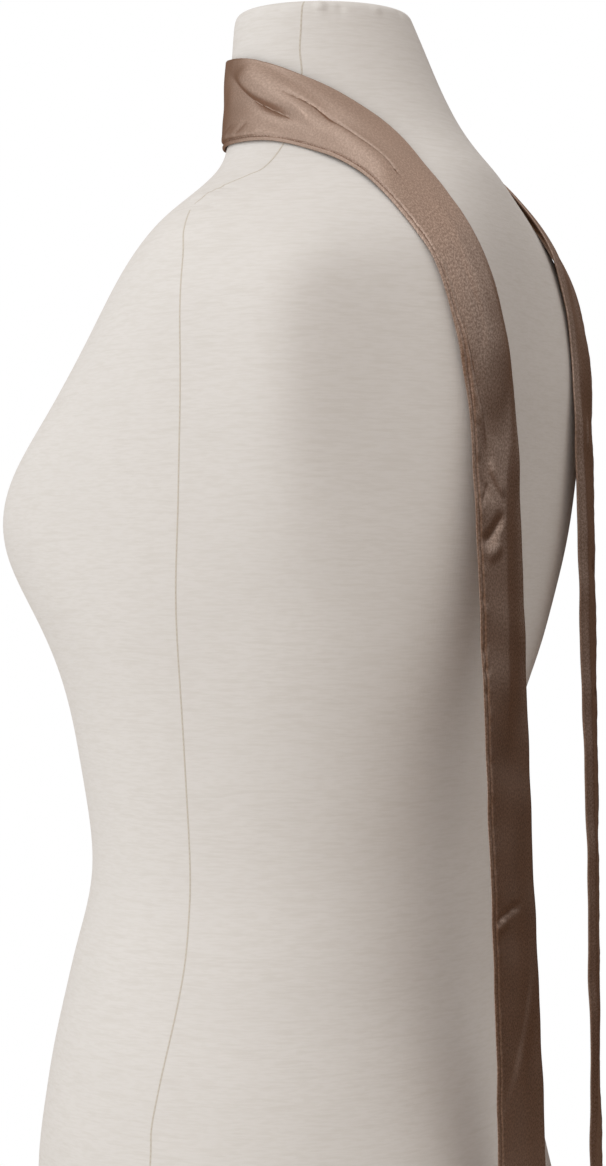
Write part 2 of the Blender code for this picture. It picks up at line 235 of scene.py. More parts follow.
class CoverSeamSettings(bpy.types.PropertyGroup):
    width: a_length("Width", "Width of the welt that the two panels make", 0.0011)
    height: a_length("Height", "Height of the welt over the cover", 0.00016)
    pitch: a_length("Pitch", "Distance from one stitch to the next", 0.0023)
    thread: a_colour("Thread", "Colour of the sewing thread", (0.67, 0.54, 0.46))


class SatinSettings(bpy.types.PropertyGroup):
    width: a_length("Width", "Width of the tube, pressed flat", 0.051)
    thickness: a_length("Thickness", "Thickness of the two layers together", 0.0013)
    clearance: a_length("Clearance", "Least distance between the satin and the cover", 0.0008)
    colour: a_colour("Satin", "Colour of the satin", (0.078, 0.036, 0.019))
    sheen: a_colour("Sheen", "Colour of the light that the satin reflects", (1.0, 0.76, 0.62))
    roughness: bpy.props.FloatProperty(
        name="Roughness", description="Roughness of the satin's face", min=0.0, max=1.0, default=0.33,
    )
    step: a_length("Step", "Length of the mesh's faces along the scarf", 0.0021)


class EdgeSeamSettings(bpy.types.PropertyGroup):
    inset: a_length("Inset", "Distance of the stitching from the scarf's outer edge", 0.0034)
    groove: a_length("Groove", "Depth to which the stitching sinks", 0.0006)
    stitch: a_length("Stitch", "Length of one stitch", 0.0013)
    pitch: a_length("Pitch", "Distance from one stitch to the next", 0.0019)
    thread: a_colour("Thread", "Colour of the sewing thread", (0.20, 0.105, 0.072))


class StageSettings(bpy.types.PropertyGroup):
    floor_radius: a_length("Floor radius", "Radius of the pale round floor", 0.50)
    camera_azimuth: bpy.props.FloatProperty(
        name="Camera azimuth", description="Turn of the camera from the form's front to its left",
        subtype="ANGLE", default=math.radians(111),
    )
    camera_distance: a_length("Camera distance", "Distance from the form's axis", 1.80)
    camera_height: a_length("Camera height", "Height of the level camera", 0.42185)
    camera_shift: a_length("Camera shift", "Distance of the camera to the right of the form's axis", -0.0011)
    lens: bpy.props.FloatProperty(
        name="Lens", description="Focal length of the camera", unit="CAMERA", default=101.0,
    )


# Curves and profiles
CURVE_SAMPLES = 40


def through(points, at):
    """A smooth curve through vectors, at a position counted in points."""
    span = min(max(int(at), 0), len(points) - 2)
    t = at - span
    p1, p2 = points[span], points[span + 1]
    p0 = points[span - 1] if span > 0 else 2 * p1 - p2
    p3 = points[span + 2] if span + 2 < len(points) else 2 * p2 - p1
    return (
        p1
        + (p2 - p0) * (t / 2)
        + (2 * p0 - 5 * p1 + 4 * p2 - p3) * (t * t / 2)
        + (3 * p1 - p0 - 3 * p2 + p3) * (t * t * t / 2)
    )


def runs(points):
    """Distances along a line from its first point to each of its points."""
    found = [0.0]
    for one, two in zip(points, points[1:]):
        found.append(found[-1] + (two - one).length)
    return found


def even_steps(points, step):
    """Positions at even distances along the curve through points, and the runs at its samples."""
    samples = [i / CURVE_SAMPLES for i in range((len(points) - 1) * CURVE_SAMPLES + 1)]
    run = runs([through(points, at) for at in samples])
    count = max(math.ceil(run[-1] / step), 1)
    found, k = [], 0
    for i in range(count + 1):
        wanted = run[-1] * i / count
        while k < len(run) - 2 and run[k + 1] < wanted:
            k += 1
        share = (wanted - run[k]) / (run[k + 1] - run[k])
        found.append(samples[k] + share * (samples[k + 1] - samples[k]))
    return found, run, samples


def ease(share):
    """A smooth step from 0 to 1."""
    share = min(max(share, 0.0), 1.0)
    return share * share * (3 - 2 * share)


def hill(distance, half_width):
    """A smooth round hill, 1 at its middle and 0 from its half width on."""
    share = min(abs(distance) / half_width, 1.0)
    return (1 - share * share) ** 2


# Mesh helpers
CAD_WELD = 1e-6
GRID_WELD = 1e-7
# Stitches are made a few at a time, because each takes longer in a bmesh that already holds many
STITCHES_AT_ONCE = 40


def mesh_from(bm, name):
    """A mesh made of a bmesh, which is freed."""
    mesh = bpy.data.meshes.new(name)
    bm.to_mesh(mesh)
    bm.free()
    return mesh


def finish_mesh(name, bm, material):
    """Turn a bmesh into a finished piece that rides on the part's one body."""
    mesh = mesh_from(bm, name)
    mesh.shade_smooth()
    mesh.materials.append(material)
    piece = bpy.data.objects.new(name, mesh)
    bpy.context.scene.collection.objects.link(piece)
    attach(piece, "root")
    return piece


def grid_between(bm, rows, closed=False):
    """Add a grid with a vertex at each point of rows, and UVs in metres along and across it."""
    long, wide = len(rows) - 1, len(rows[0]) - 1
    layer = bm.loops.layers.uv.get("UVMap") or bm.loops.layers.uv.new("UVMap")
    made = bmesh.ops.create_grid(bm, x_segments=long, y_segments=wide, size=1.0, calc_uvs=True)["verts"]
    place = {}
    for vert in made:
        i = round((vert.co.x + 1) / 2 * long)
        j = round((vert.co.y + 1) / 2 * wide)
        place[vert] = (i, j)
    front_middle = wide // 4
    run = runs([row[front_middle] for row in rows])
    girth = runs(rows[len(rows) // 2])
    for face in {face for vert in made for face in vert.link_faces}:
        for loop in face.loops:
            i, j = place[loop.vert]
            loop[layer].uv = (girth[j], run[i])
    for vert, (i, j) in place.items():
        vert.co = rows[i][j]
    if closed:
        seam = [vert for vert, (i, j) in place.items() if j in (0, wide)]
        bmesh.ops.remove_doubles(bm, verts=seam, dist=GRID_WELD)
    return made


def turned(direction, normal):
    """A rotation with its X axis along direction and its Z axis near normal."""
    side = normal.cross(direction).normalized()
    up = direction.cross(side).normalized()
    return Matrix((direction, side, up)).transposed().to_4x4()


def add_stitches(bm, stitches, size):
    """Short round stitches of thread, each lying at a place along a direction."""
    for start in range(0, len(stitches), STITCHES_AT_ONCE):
        some = bmesh.new()
        for place, direction, normal in stitches[start:start + STITCHES_AT_ONCE]:
            matrix = Matrix.Translation(place) @ turned(direction, normal) @ Matrix.Diagonal((*size, 1.0))
            bmesh.ops.create_uvsphere(some, u_segments=6, v_segments=4, radius=0.5, matrix=matrix)
        mesh = mesh_from(some, "some_stitches")
        bm.from_mesh(mesh)
        bpy.data.meshes.remove(mesh)


# Materials
# Heights between which the satin's painted sheen turns from the back's strong speckle to the neck's evener
# one: a painted reflection, since the satin is the same all along
PAINTED_SHEEN_HEIGHTS = (0.585, 0.655)


def new_material(name):
    """A new material, its node tree and its shader."""
    material = bpy.data.materials.new(name)
    material.use_nodes = True
    tree = material.node_tree
    return material, tree, tree.nodes["Principled BSDF"]


def supply(tree, socket, value):
    """Link a socket to another one, or set it to a number or a colour."""
    if isinstance(value, bpy.types.NodeSocket):
        tree.links.new(value, socket)
    else:
        socket.default_value = value


def feed(tree, node, inputs):
    """Supply a node's inputs, by their names or numbers."""
    for name, value in inputs.items():
        supply(tree, node.inputs[name], value)


def add(tree, kind, inputs=None, **settings):
    """Add a node of a kind, with its settings and its inputs."""
    node = tree.nodes.new(kind)
    for name, value in settings.items():
        setattr(node, name, value)
    feed(tree, node, inputs or {})
    return node


def noise_at(tree, coordinates, stretch, scale, detail=2.0, roughness=0.5):
    """A noise texture on coordinates that are stretched first. Returns its Fac socket."""
    stretched = add(tree, "ShaderNodeMapping", {"Scale": stretch, "Vector": coordinates}).outputs["Vector"]
    inputs = {"Vector": stretched, "Scale": scale, "Detail": detail, "Roughness": roughness}
    return add(tree, "ShaderNodeTexNoise", inputs).outputs["Fac"]


def ranged(tree, value, low, high, to_low, to_high):
    """A value's smooth step from to_low at low to to_high at high. Returns its socket."""
    inputs = {"Value": value, "From Min": low, "From Max": high, "To Min": to_low, "To Max": to_high}
    return add(tree, "ShaderNodeMapRange", inputs, interpolation_type="SMOOTHSTEP").outputs["Result"]


def mixed(tree, factor, first, second, blend="MIX"):
    """A mix of two colours, each a socket or a plain colour."""
    node = add(tree, "ShaderNodeMix", data_type="RGBA", blend_type=blend)
    for name, kind, value in (("Factor", "VALUE", factor), ("A", "RGBA", first), ("B", "RGBA", second)):
        supply(tree, next(s for s in node.inputs if s.name == name and s.type == kind), value)
    return next(s for s in node.outputs if s.type == "RGBA")


def layered(tree, pattern, low, high, most, under, over):
    """One colour over another as a pattern rises from low to high, up to a share of it."""
    return mixed(tree, ranged(tree, pattern, low, high, 0.0, most), under, over)


def add_bump(tree, shader, heights, strength, distance):
    """Feed the sum of height patterns into the shader's normal."""
    total = heights[0]
    for height in heights[1:]:
        total = add(tree, "ShaderNodeMath", {0: total, 1: height}, operation="ADD").outputs[0]
    bump = add(tree, "ShaderNodeBump", {"Strength": strength, "Distance": distance, "Height": total})
    feed(tree, shader, {"Normal": bump.outputs["Normal"]})


def tone(colour, factor=1.0):
    """A colour with its alpha, made darker or lighter by a factor."""
    return tuple(min(value * factor, 1.0) for value in colour) + (1.0,)


def linen_material(settings):
    """Undyed linen: fine uneven weft threads that run round the form, warp threads, and faint clouding."""
    material, tree, shader = new_material("linen")
    position = add(tree, "ShaderNodeTexCoord").outputs["Object"]
    pitch = settings.weft_pitch
    weft = noise_at(tree, position, (0.16, 0.16, 1.0), 1.0 / pitch, detail=1.0)
    slubs = noise_at(tree, position, (0.10, 0.10, 1.0), 0.62 / pitch, detail=2.0, roughness=0.6)
    warp = noise_at(tree, position, (1.0, 1.0, 0.14), 0.9 / pitch, detail=1.0)
    cloudy = noise_at(tree, position, (1.0, 1.0, 1.6), 16.0, detail=3.0)
    light = layered(tree, cloudy, 0.38, 0.64, 0.5, tone(settings.colour), tone(settings.colour, 0.975))
    threads = layered(tree, slubs, 0.45, 0.74, 0.75, light, tone(settings.shade))
    fine = layered(tree, weft, 0.40, 0.66, 0.45, threads, tone(settings.shade, 1.01))
    feed(tree, shader, {
        "Base Color": fine, "Roughness": settings.roughness, "Specular IOR Level": 0.2,
        "Sheen Weight": 0.06, "Sheen Roughness": 0.5,
    })
    add_bump(tree, shader, (weft, slubs, warp), strength=0.30, distance=0.00022)
    return material


def thread_material(name, colour):
    """Twisted sewing thread: fine turns of light and dark."""
    material, tree, shader = new_material(name)
    position = add(tree, "ShaderNodeTexCoord").outputs["Object"]
    twist = noise_at(tree, position, (1.0, 1.0, 1.0), 2600.0, detail=1.0)
    cloudy = noise_at(tree, position, (1.0, 1.0, 1.0), 40.0, detail=1.0)
    shaded = layered(tree, cloudy, 0.35, 0.65, 1.0, tone(colour, 0.88), tone(colour, 1.10))
    twisted = layered(tree, twist, 0.40, 0.62, 0.7, shaded, tone(colour, 0.68))
    feed(tree, shader, {"Base Color": twisted, "Roughness": 0.62, "Sheen Weight": 0.1})
    add_bump(tree, shader, (twist,), strength=0.3, distance=0.0001)
    return material


def satin_material(settings):
    """Brown satin: floats that run along the scarf, with a fine speckled grain, a broad soft sheen, and
    painted sheen whose speckle grows weaker from the back up to the neck.
    """
    material, tree, shader = new_material("satin")
    position = add(tree, "ShaderNodeUVMap", uv_map="UVMap").outputs["UV"]
    grain = noise_at(tree, position, (1.0, 0.8, 1.0), 860.0, detail=3.0, roughness=0.75)
    floats = noise_at(tree, position, (1.0, 0.06, 1.0), 1500.0, detail=1.0)
    cloudy = noise_at(tree, position, (1.0, 0.35, 1.0), 70.0, detail=2.0)
    base = layered(tree, cloudy, 0.35, 0.65, 1.0, tone(settings.colour, 1.06), tone(settings.colour, 0.90))
    speckled = layered(tree, grain, 0.50, 0.72, 0.8, base, tone(settings.colour, 1.75))
    deep = layered(tree, floats, 0.52, 0.74, 0.45, speckled, tone(settings.colour, 0.62))
    place = add(tree, "ShaderNodeTexCoord").outputs["Object"]
    height = add(tree, "ShaderNodeSeparateXYZ", {0: place}).outputs["Z"]
    # Painted sheen: the grain's speckle in the satin's reflection is painted weaker from the back up to the
    # neck, where the front light falls; the grain itself is the satin's own
    neck = ranged(tree, height, *PAINTED_SHEEN_HEIGHTS, 0.0, 1.0)
    dull_sheen_painted_by_height = mixed(tree, neck, tone(settings.sheen, 0.50), tone(settings.sheen, 0.68))
    bright_sheen_painted_by_height = mixed(tree, neck, tone(settings.sheen), tone(settings.sheen, 0.84))
    feed(tree, shader, {
        "Base Color": deep, "IOR": 3.1, "Specular IOR Level": 0.95,
        "Specular Tint": layered(tree, grain, 0.40, 0.62, 1.0, dull_sheen_painted_by_height, bright_sheen_painted_by_height),
        "Roughness": ranged(tree, grain, 0.34, 0.68, settings.roughness + 0.07, settings.roughness - 0.05),
    })
    add_bump(tree, shader, (grain, floats), strength=0.20, distance=0.00018)
    return material


# The scarf's form
def hang_station(hang, width):
    """The edges of a hanging tail at one height."""
    turn = math.radians(hang.turn)
    half = Vector((math.cos(turn), -math.sin(turn), 0)) * (width / 2)
    middle = Vector((hang.x, hang.y, hang.z))
    return Station(middle - half, middle + half, 0.0)


def mirrored(station):
    """The same station on the form's other side."""
    return Station(*(Vector((-edge[0], edge[1], edge[2])) for edge in station[:2]), station.fold)


def route(width):
    """The whole scarf from the right tail's end to the left one's: inner edges, outer edges and folds."""
    left = [*NECK_SIDE, *LEFT_SHOULDER, *(hang_station(hang, width) for hang in LEFT_TAIL)]
    right = [*NECK_SIDE, *RIGHT_SHOULDER, *(hang_station(hang, width) for hang in RIGHT_TAIL)]
    stations = [*(mirrored(station) for station in reversed(right)), THROAT_MIDDLE, *left]
    inner = [Vector(station.inner) for station in stations]
    outer = [Vector(station.outer) for station in stations]
    folds = [Vector((station.fold, 0, 0)) for station in stations]
    return inner, outer, folds, len(right)


FOLD_RIDGES = 2
SETTLING_PASSES = 3
RELAXING_ROUNDS = 5
EASINGS_A_ROUND = 4

# Columns of the satin's mesh by their distances from its inner and its outer edge, close together where the
# cloth turns and along the stitching, and the even steps between these two groups
EDGE_COLUMNS = (0.0, 0.00012, 0.0004, 0.0009, 0.0018)
SEAM_COLUMNS = (
    0.0056, 0.0049, 0.0043, 0.0039, 0.0034, 0.0029, 0.0024, 0.0017, 0.0010, 0.0004, 0.00012, 0.0,
)
BODY_STEPS = 42

# Gentle waves of slack all over the satin: height, wavelength along it and across it, and phase
Wave = namedtuple("Wave", "height along across phase")
SLACK = (
    Wave(0.00016, 0.047, 0.110, 0.0),
    Wave(0.00013, 0.083, -0.070, 1.1),
    Wave(0.00009, 0.029, 0.160, 2.3),
)
# The seam's own puckers, drawn up by the stitches
PUCKERS = (Wave(0.42, 0.0103, 1.0, 0.0), Wave(0.26, 0.0067, 1.0, 1.3), Wave(0.30, 0.0171, 1.0, 0.5))
# How the puckers swell outside the stitching and sink inside it: height, distance from the edge, half width
Swell = namedtuple("Swell", "height place half_width")
SWELLS = (Swell(0.00016, 0.0015, 0.0018), Swell(-0.00018, 0.0056, 0.0030))

# The tube's section: its pressed fold, as a share of its thickness, and its stitched edge, which is thin and
# has a round crown, a groove that the puckers deepen, and a back that lifts a little
FOLD_SHARE = 0.9
EDGE_THICKNESS = 0.0004
CROWN_RISE = 0.00072
CROWN_WIDTH = 0.0016
GROOVE_HALF_WIDTH = 0.0010
GROOVE_PUCKER = 0.35
BACK_LIFT = 0.0002
BACK_LIFT_WIDTH = 0.0008


def waves(table, along, across=0.0):
    """The height of all the waves of a table at one place."""
    return sum(
        wave.height * math.sin(2 * math.pi * (along / wave.along + across / wave.across) + wave.phase)
        for wave in table
    )


def eased(before, here, after):
    """The mean of a point and its two neighbours, with the point counted twice."""
    return here * 0.5 + (before + after) * 0.25


class ScarfForm:
    """The satin tube's middle surface on the form, with its directions, at each row and column."""

    def __init__(self, settings, tree):
        self.settings = settings
        self.tree = tree
        inner, outer, folds, throat = route(settings.width)
        middles = [(one + two) / 2 for one, two in zip(inner, outer)]
        spots, run, samples = even_steps(middles, settings.step)
        self.length = run[-1]
        start = run[samples.index(float(throat))]
        count = len(spots) - 1
        self.along = [self.length * i / count - start for i in range(count + 1)]
        self.across = column_shares(settings.width)
        self.points = [self.row(inner, outer, folds, at) for at in spots]
        self.relax()
        self.normals = self.directions(self.points)
        self.crease()

    def row(self, inner, outer, folds, at):
        """The points across the scarf at one place along it, on the form and with their ridges."""
        first, last, fold = through(inner, at), through(outer, at), through(folds, at).x
        row = []
        for share in self.across:
            point = first.lerp(last, share)
            _, normal, _, _ = self.tree.find_nearest(point)
            point += normal * fold * math.sin(FOLD_RIDGES * math.pi * share) ** 2
            row.append(self.settled(point))
        return row

    def settled(self, point):
        """The point, pushed out until it is clear of the form."""
        for _ in range(SETTLING_PASSES):
            place, normal, _, _ = self.tree.find_nearest(point)
            rise = (point - place).dot(normal)
            point = point + normal * max(self.settings.clearance - rise, 0.0)
        return point

    def relax(self):
        """Ease the bends where the cloth starts to touch the form, and lay it clear of the form again."""
        # Across the scarf, the edges' columns stay as they are
        first, last = len(EDGE_COLUMNS) + 1, len(self.across) - len(SEAM_COLUMNS) - 1
        for _ in range(RELAXING_ROUNDS):
            for _ in range(EASINGS_A_ROUND):
                rows = self.points
                longwise = [rows[0]]
                for three in zip(rows, rows[1:], rows[2:]):
                    longwise.append([eased(*points) for points in zip(*three)])
                longwise.append(rows[-1])
                for row in longwise:
                    row[first:last] = [eased(*row[j - 1:j + 2]) for j in range(first, last)]
                self.points = longwise
            self.points = [[self.settled(point) for point in row] for row in self.points]

    def directions(self, points):
        """Unit vectors out of the cloth, away from the form."""
        long, wide = len(points), len(points[0])
        normals = []
        for i in range(long):
            row = []
            for j in range(wide):
                along = points[min(i + 1, long - 1)][j] - points[max(i - 1, 0)][j]
                over = points[i][min(j + 1, wide - 1)] - points[i][max(j - 1, 0)]
                row.append(over.cross(along).normalized())
            normals.append(row)
        middle = long // 2
        probe, normal = points[middle][wide // 2], normals[middle][wide // 2]
        if normal.dot(Vector((probe.x, probe.y, 0.0))) < 0:
            normals = [[-normal for normal in row] for row in normals]
        return normals

    def crease(self):
        """Move the surface by its creases and its slack, then settle it again."""
        width = self.settings.width
        tables = (1, LEFT_CREASES), (-1, RIGHT_CREASES)
        creases = [(sign, ShapedCrease(crease)) for sign, table in tables for crease in table]
        for i, along in enumerate(self.along):
            near = [
                (sign, crease) for sign, crease in creases
                if crease.low < sign * along / MILLIMETRE < crease.high
            ]
            for j, share in enumerate(self.across):
                across = share * width
                rise = waves(SLACK, along, across)
                for sign, crease in near:
                    here = Vector((sign * along, across)) / MILLIMETRE
                    rise += crease.at(here) * MILLIMETRE
                self.points[i][j] = self.settled(self.points[i][j] + self.normals[i][j] * rise)
        self.normals = self.directions(self.points)


class ShapedCrease:
    """One crease, ready to be measured at any place of the satin."""

    # A crease rises over this share of its length at each end, and starts from this share of its height
    END_SHARE = 0.28
    END_HEIGHT = 0.03

    def __init__(self, crease):
        self.crease = crease
        self.path = [Vector(place) for place in crease.path]
        self.runs = runs(self.path)
        reach = max(crease.inner, crease.outer)
        self.low = min(place.x for place in self.path) - reach
        self.high = max(place.x for place in self.path) + reach

    def at(self, here):
        """How far the crease moves the cloth at a place, in millimetres."""
        best = None
        for k, (one, two) in enumerate(zip(self.path, self.path[1:])):
            run = two - one
            share = min(max((here - one).dot(run) / run.length_squared, 0.0), 1.0)
            off = here - (one + run * share)
            if best is None or off.length_squared < best[0]:
                side = run.x * (here.y - one.y) - run.y * (here.x - one.x)
                best = off.length_squared, side, self.runs[k] + share * run.length
        squared, side, run = best
        share = math.sqrt(squared) / (self.crease.outer if side > 0 else self.crease.inner)
        if share >= 1:
            return 0.0
        round_top = (1 - share * share) ** 2
        sharp_top = (1 - share) * (1 - share * share)
        profile = round_top + self.crease.peak * (sharp_top - round_top)
        from_end = min(run, self.runs[-1] - run) / self.runs[-1]
        height = self.END_HEIGHT + (1 - self.END_HEIGHT) * ease(from_end / self.END_SHARE)
        return self.crease.rise * profile * height


def column_shares(width):
    """The columns' places across the scarf, as shares of its width."""
    low, high = EDGE_COLUMNS[-1], width - SEAM_COLUMNS[0]
    body = [low + (high - low) * i / BODY_STEPS for i in range(1, BODY_STEPS)]
    return [value / width for value in (*EDGE_COLUMNS, *body, *(width - value for value in SEAM_COLUMNS))]


def tube_section(satin, seam, along, across):
    """Heights of the tube's front and back over its inner side, with its fold and its stitched edge."""
    thick = satin.thickness
    fold = ease(across / (FOLD_SHARE * thick)) ** 0.5
    if across < satin.width / 2:
        return thick / 2 * (1 + fold), thick / 2 * (1 - fold)
    edge = satin.width - across
    pucker = waves(PUCKERS, along)
    crown = EDGE_THICKNESS + CROWN_RISE * math.sin(math.pi / 2 * min(edge / CROWN_WIDTH, 1.0))
    top = crown + (thick - crown) * ease((edge - seam.inset) / CROWN_WIDTH)
    top -= seam.groove * (1 + GROOVE_PUCKER * pucker) * hill(edge - seam.inset, GROOVE_HALF_WIDTH)
    top += sum(swell.height * pucker * hill(edge - swell.place, swell.half_width) for swell in SWELLS)
    return top, BACK_LIFT * (1 - min(edge / BACK_LIFT_WIDTH, 1.0)) ** 2


class DRESSFORM_OT_cover(bpy.types.Operator):
    """Make the torso in its linen cover, smooth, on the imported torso's own form"""

    bl_idname = "dressform.cover"
    bl_label = "Torso cover"

    JOIN_ANGLE = math.radians(40)
    SPOTS_A_SPAN = 6
    FINEST_EDGE = 0.0016
    # A pull grows over this share of its length at each end, from this share of its height
    END_SHARE = 0.3
    END_HEIGHT = 0.25

    def execute(self, context):
        settings = context.scene.form_cover
        bm = bmesh.new()
        bm.from_mesh(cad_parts["form_torso"].data)
        bmesh.ops.remove_doubles(bm, verts=bm.verts, dist=CAD_WELD)
        bmesh.ops.join_triangles(
            bm, faces=bm.faces, angle_face_threshold=self.JOIN_ANGLE, angle_shape_threshold=self.JOIN_ANGLE,
        )
        for layer in list(bm.loops.layers.uv):
            bm.loops.layers.uv.remove(layer)
        bm = self.smoothed(context, bm, settings.smoothing)
        for pull in PULLS:
            self.pull(bm, pull)
        piece = finish_mesh("torso_cover", bm, linen_material(settings))
        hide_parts("form_torso")
        return {"FINISHED"}

    def smoothed(self, context, bm, levels):
        """The same body after Subdivision Surface."""
        cage = bpy.data.objects.new("cage", mesh_from(bm, "cage"))
        context.scene.collection.objects.link(cage)
        smooth = cage.modifiers.new("smooth", "SUBSURF")
        smooth.levels = smooth.render_levels = levels
        mesh = bpy.data.meshes.new_from_object(cage.evaluated_get(context.evaluated_depsgraph_get()))
        bpy.data.objects.remove(cage)
        bm = bmesh.new()
        bm.from_mesh(mesh)
        bpy.data.meshes.remove(mesh)
        return bm

    def pull(self, bm, pull):
        """Raise or sink the cover along a path, with finer faces there."""
        tree = BVHTree.FromBMesh(bm)
        points = [Vector(place) * MILLIMETRE for place in pull.path]
        count = self.SPOTS_A_SPAN * (len(points) - 1)
        line = [tree.find_nearest(through(points, i / self.SPOTS_A_SPAN))[0] for i in range(count + 1)]
        reach = pull.width * MILLIMETRE
        near = set(self.verts_near(bm, line, 2 * reach))
        edges = {edge for vert in near for edge in vert.link_edges if edge.other_vert(vert) in near}
        edges = [edge for edge in edges if edge.calc_length() > self.FINEST_EDGE]
        bmesh.ops.subdivide_edges(bm, edges=edges, cuts=2, use_grid_fill=True)
        bm.normal_update()
        moves = []
        for vert in self.verts_near(bm, line, reach):
            spots = [(vert.co - one).length for one in line]
            nearest = min(range(len(line)), key=spots.__getitem__)
            share = min(nearest, count - nearest) / count
            height = self.END_HEIGHT + (1 - self.END_HEIGHT) * ease(share / self.END_SHARE)
            rise = pull.rise * hill(spots[nearest], reach) * height
            moves.append((vert, vert.normal * rise * MILLIMETRE))
        for vert, move in moves:
            vert.co += move

    def verts_near(self, bm, line, reach):
        """The vertices in the box round a line."""
        low = [min(point[axis] for point in line) - reach for axis in range(3)]
        high = [max(point[axis] for point in line) + reach for axis in range(3)]
        return [
            vert for vert in bm.verts
            if low[0] < vert.co.x < high[0] and low[1] < vert.co.y < high[1] and low[2] < vert.co.z < high[2]
        ]


class DRESSFORM_OT_cover_seams(bpy.types.Operator):
    """Sew the cover's seams: low welts down the neck, the shoulders and the sides"""

    bl_idname = "dressform.cover_seams"
    bl_label = "Cover seams"

    STEP = 0.0009
    RAY_START = 0.4
    # The welt's section, across in its widths and up in its heights, with the groove in its middle
    PROFILE = (
        (-0.5, -0.5), (-0.42, 0.45), (-0.26, 1.0), (-0.10, 0.9), (0.0, 0.4), (0.10, 0.95), (0.26, 1.1),
        (0.42, 0.5), (0.5, -0.5),
    )
    STITCH_SHARE = 0.66
    THREAD_WIDTH = 0.00034
    THREAD_HEIGHT = 0.00022
    THREAD_LEVEL = 0.7

    def execute(self, context):
        settings = context.scene.cover_seams
        tree = cover_tree(context)
        welts = bmesh.new()
        stitches = []
        for side in (1, -1):
            for seam in (TOP_SEAM, SIDE_SEAM):
                line = self.line(tree, seam, side)
                self.welt(welts, line, settings)
                stitches += self.stitches(line, settings)
        finish_mesh("cover_seam_welts", welts, bpy.data.materials["linen"])
        thread = thread_material("cover_thread", settings.thread)
        sewn = bmesh.new()
        length = settings.pitch * self.STITCH_SHARE
        add_stitches(sewn, stitches, (length, self.THREAD_WIDTH, self.THREAD_HEIGHT))
        finish_mesh("cover_seam_stitches", sewn, thread)
        return {"FINISHED"}

    def line(self, tree, seam, side):
        """Places on the cover with their normals, at even steps along a seam."""
        points = [Vector((0.0, back, up)) * MILLIMETRE for back, up in seam]
        line = []
        for at in even_steps(points, self.STEP)[0]:
            start = through(points, at) + Vector((self.RAY_START * side, 0.0, 0.0))
            place, normal, _, _ = tree.ray_cast(start, Vector((-side, 0.0, 0.0)))
            if place is None:
                raise RuntimeError("A cover seam misses the torso")
            line.append((place, normal))
        return line

    def welt(self, bm, line, settings):
        """A low strip with a groove along its middle, where the two panels meet."""
        rows = []
        for i, (place, normal) in enumerate(line):
            along = (line[min(i + 1, len(line) - 1)][0] - line[max(i - 1, 0)][0]).normalized()
            over = normal.cross(along).normalized()
            rows.append([
                place + over * across * settings.width + normal * up * settings.height
                for across, up in self.PROFILE
            ])
        made = grid_between(bm, rows)
        bmesh.ops.recalc_face_normals(bm, faces=list({face for vert in made for face in vert.link_faces}))

    def stitches(self, line, settings):
        """Places for small stitches that bridge the groove."""
        every = max(round(settings.pitch / self.STEP), 1)
        found = []
        for i in range(every, len(line) - every, every):
            place, normal = line[i]
            along = (line[i + 1][0] - line[i - 1][0]).normalized()
            found.append((place + normal * settings.height * self.THREAD_LEVEL, along, normal))
        return found


class SCARF_OT_satin_tube(bpy.types.Operator):
    """Drape the satin tube over the form, with its creases and its pressed edges"""

    bl_idname = "scarf.satin_tube"
    bl_label = "Satin tube"

    def execute(self, context):
        satin, seam = context.scene.satin, context.scene.edge_seam
        form = scarf_form(context)
        rows = []
        for i, along in enumerate(form.along):
            front, back = [], []
            for j, share in enumerate(form.across):
                top, under = tube_section(satin, seam, along, share * satin.width)
                front.append(form.points[i][j] + form.normals[i][j] * top)
                back.append(form.points[i][j] + form.normals[i][j] * under)
            rows.append(front + back[::-1])
        bm = bmesh.new()
        grid_between(bm, rows, closed=True)
        bmesh.ops.holes_fill(bm, edges=[edge for edge in bm.edges if edge.is_boundary])
        bmesh.ops.recalc_face_normals(bm, faces=bm.faces)
        piece = finish_mesh("satin_tube", bm, satin_material(satin))
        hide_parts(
            "scarf_throat", "scarf_left_shoulder", "scarf_left_tail",
            "scarf_right_shoulder", "scarf_right_tail",
        )
        return {"FINISHED"}


class SCARF_OT_edge_stitches(bpy.types.Operator):
    """Sew the row of small stitches along the scarf's outer edge"""

    bl_idname = "scarf.edge_stitches"
    bl_label = "Edge stitches"

    THREAD_WIDTH = 0.00042
    THREAD_HEIGHT = 0.00036
    THREAD_SINK = 0.00002

    def execute(self, context):
        satin, seam = context.scene.satin, context.scene.edge_seam
        form = scarf_form(context)
        across = satin.width - seam.inset
        j = min(range(len(form.across)), key=lambda j: abs(form.across[j] * satin.width - across))
        stitches = []
        count = math.floor(form.length / seam.pitch) - 1
        for k in range(1, count):
            at = k / count * (len(form.along) - 1)
            i, share = int(at), at - int(at)
            point = form.points[i][j].lerp(form.points[i + 1][j], share)
            normal = form.normals[i][j].lerp(form.normals[i + 1][j], share).normalized()
            direction = (form.points[i + 1][j] - form.points[i][j]).normalized()
            top, _ = tube_section(satin, seam, form.along[i], across)
            stitches.append((point + normal * (top - self.THREAD_SINK), direction, normal))
        bm = bmesh.new()
        add_stitches(bm, stitches, (seam.stitch, self.THREAD_WIDTH, self.THREAD_HEIGHT))
        piece = finish_mesh("edge_stitches", bm, thread_material("scarf_thread", seam.thread))
        return {"FINISHED"}


_made = {}


def cover_tree(context):
    """The cover's surface, to cast rays at and to rest cloth on."""
    if "cover" not in _made:
        depsgraph = context.evaluated_depsgraph_get()
        _made["cover"] = BVHTree.FromObject(bpy.data.objects["torso_cover"], depsgraph)
    return _made["cover"]


def scarf_form(context):
    """The scarf's form, worked out once on the torso's cover."""
    if "scarf" not in _made:
        _made["scarf"] = ScarfForm(context.scene.satin, cover_tree(context))
    return _made["scarf"]


